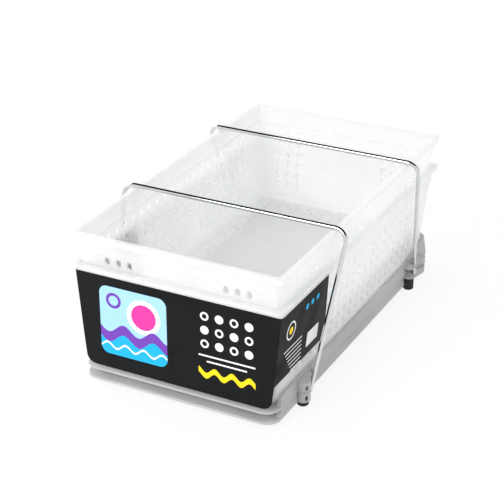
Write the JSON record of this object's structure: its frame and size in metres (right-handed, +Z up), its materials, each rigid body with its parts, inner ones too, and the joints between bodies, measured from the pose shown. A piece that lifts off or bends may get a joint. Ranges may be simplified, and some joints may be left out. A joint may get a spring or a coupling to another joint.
{
  "type": "under sink organizer",
  "caption": "Rectangular two tier sliding organizer packed flat: nested perforated plastic bins on stacked shallow trays, under two bent wire frames, with a printed wrap card.",
  "frame": {"origin": "on the floor, under the middle of the trays", "axes": "+Z up, +Y towards the back of the trays, +X to the right seen from the open front, which the bins slide out of towards -Y"},
  "size_m": [0.2578, 0.4128, 0.1704],
  "materials": {
    "tray_plastic": "frosted, slightly translucent",
    "bin_plastic": "frosted, translucent near-white",
    "wire": "polished",
    "foot_rubber": "matte",
    "card": "printed card, semi-matte"
  },
  "bodies": {
    "trays": {"lower_tray": "tray_plastic", "upper_tray": "tray_plastic", "foot_front_left": "foot_rubber", "foot_front_right": "foot_rubber", "foot_rear_left": "foot_rubber", "foot_rear_right": "foot_rubber"},
    "bins": {"outer_bin": "bin_plastic", "inner_bin": "bin_plastic", "wrap_card": "card"},
    "front_wire": {"front_wire_frame": "wire"},
    "rear_wire": {"rear_wire_frame": "wire"}
  },
  "joints": [
    {"name": "bins_slide", "type": "slide", "parent": "trays", "child": "bins", "axis": [0, -1, 0], "range_m": [0, 0.3]},
    {"name": "front_wire_lift", "type": "slide", "parent": "trays", "child": "front_wire", "axis": [0, 0.2781, 0.9606], "range_m": [0, 0.042]},
    {"name": "rear_wire_lift", "type": "slide", "parent": "trays", "child": "rear_wire", "axis": [0, -0.2781, 0.9606], "range_m": [0, 0.042]}
  ]
}
